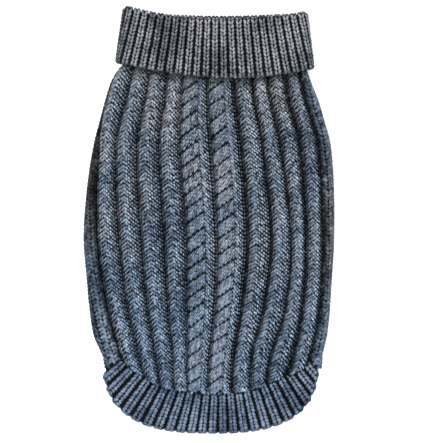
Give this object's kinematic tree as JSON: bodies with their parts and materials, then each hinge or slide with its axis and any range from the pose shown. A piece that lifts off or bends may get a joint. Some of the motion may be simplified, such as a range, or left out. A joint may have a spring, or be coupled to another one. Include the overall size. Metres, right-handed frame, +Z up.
{
  "type": "dog sweater",
  "caption": "Knitted sweater for a small dog, laid flat: turned-down rib collar, rope-ridged back with cables, fan-ribbed tail edge and a plain belly with leg openings.",
  "frame": {"origin": "middle of the underside, on the surface the garment lies on", "axes": "+Y from the tail edge to the neck, +Z up out of the cabled back, +X across the back"},
  "size_m": [0.1671, 0.2864, 0.0167],
  "materials": {
    "body_knit": "matte heathered slate-blue wool-blend yarn",
    "collar_rib": "matte heathered grey-blue yarn in 1x1 rib",
    "rear_rib": "matte heathered slate-blue yarn in 1x1 rib"
  },
  "bodies": {
    "root": {"back_panel": "body_knit", "belly_panel": "body_knit", "collar": "collar_rib", "tail_rib": "rear_rib", "belly_rib": "rear_rib"}
  },
  "joints": []
}
